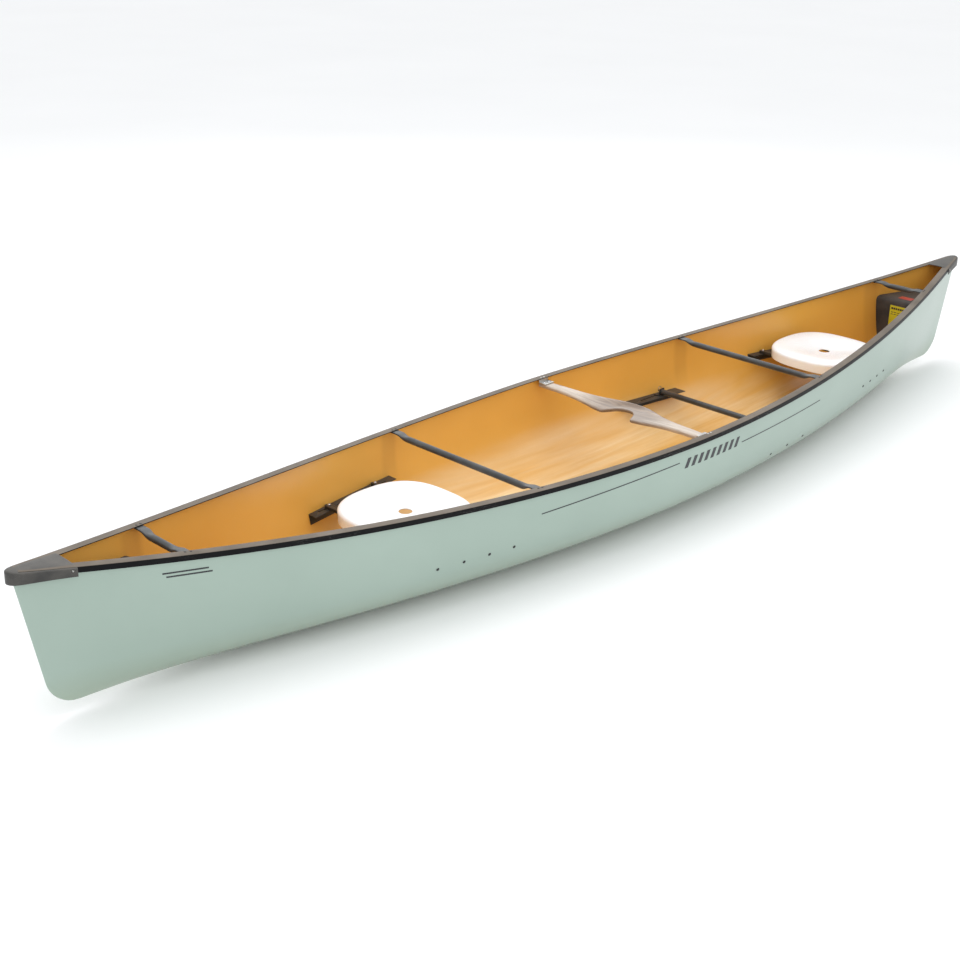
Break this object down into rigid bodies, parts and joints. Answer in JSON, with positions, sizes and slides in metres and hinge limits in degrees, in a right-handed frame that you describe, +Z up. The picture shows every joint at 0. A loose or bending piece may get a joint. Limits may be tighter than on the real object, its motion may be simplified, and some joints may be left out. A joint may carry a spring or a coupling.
{
  "type": "canoe",
  "caption": "Tandem touring canoe with bucket seats on side rails, tubular thwarts, a carved yoke, an adjustable foot brace, moulded deck plates and foam flotation.",
  "frame": {"origin": "under the middle of the keel, on the surface that the hull rests on", "axes": "+X from stern to bow, +Y to port, +Z up"},
  "size_m": [5.4094, 0.922, 0.5439],
  "materials": {
    "hull_laminate": "semi-gloss pale sea-green gelcoat outside, honey-gold aramid laminate inside",
    "black_gunwale": "satin black anodised extrusion",
    "moulded_black": "lightly textured black moulding",
    "rivet_metal": "black pop rivets",
    "anodised_tube": "satin black anodised tube",
    "yoke_wood": "varnished hardwood",
    "bright_aluminium": "plain aluminium",
    "bolt_steel": "bright stainless",
    "seat_plastic": "white moulded plastic",
    "black_metal": "satin black angle and flat bar",
    "black_bolt": "black washer-head bolts",
    "flotation_foam": "dark closed-cell foam",
    "yellow_label": "printed label film, plain marks only",
    "red_label": "printed label film, no text"
  },
  "bodies": {
    "hull": {"bow_carry_thwart": "anodised_tube", "bow_deck_plate": "moulded_black", "bow_float_block": "flotation_foam", "bow_rail_bolts": "black_bolt", "bow_seat_rail_port": "black_metal", "bow_seat_rail_starboard": "black_metal", "bow_thwart": "anodised_tube", "care_label": "yellow_label", "deck_plate_rivets": "rivet_metal", "foot_track_bolts": "black_bolt", "foot_track_port": "black_metal", "foot_track_starboard": "black_metal", "gunwale_port": "black_gunwale", "gunwale_starboard": "black_gunwale", "hull": "hull_laminate", "stern_carry_thwart": "anodised_tube", "stern_deck_plate": "moulded_black", "stern_float_block": "flotation_foam", "stern_rail_bolts": "black_bolt", "stern_seat_bolts": "bolt_steel", "stern_seat_front_bar": "black_metal", "stern_seat_rail_port": "black_metal", "stern_seat_rail_starboard": "black_metal", "stern_seat_rear_bar": "black_metal", "stern_seat_shell": "seat_plastic", "stern_thwart": "anodised_tube", "thwart_rivets": "rivet_metal", "top_sticker": "red_label", "yoke": "yoke_wood", "yoke_bracket_port": "bright_aluminium", "yoke_bracket_starboard": "bright_aluminium", "yoke_rivets": "rivet_metal", "yoke_screws": "bolt_steel"},
    "bow_seat": {"bow_seat_shell": "seat_plastic", "bow_seat_front_bar": "black_metal", "bow_seat_rear_bar": "black_metal", "bow_seat_bolts": "bolt_steel"},
    "foot_brace": {"foot_bar": "anodised_tube", "foot_bracket_port": "black_metal", "foot_bracket_starboard": "black_metal"},
    "foot_pin_port": {"foot_pin_port": "bolt_steel"},
    "foot_pin_starboard": {"foot_pin_starboard": "bolt_steel"}
  },
  "joints": [
    {"name": "bow_seat_slide", "type": "slide", "parent": "hull", "child": "bow_seat", "axis": [1, 0, 0], "range_m": [-0.05, 0.05]},
    {"name": "foot_brace_slide", "type": "slide", "parent": "hull", "child": "foot_brace", "axis": [1, 0, 0], "range_m": [-0.05, 0.13]},
    {"name": "foot_pin_port_pull", "type": "slide", "parent": "foot_brace", "child": "foot_pin_port", "axis": [0, 0, 1], "range_m": [0, 0.03]},
    {"name": "foot_pin_starboard_pull", "type": "slide", "parent": "foot_brace", "child": "foot_pin_starboard", "axis": [0, 0, 1], "range_m": [0, 0.03]}
  ]
}
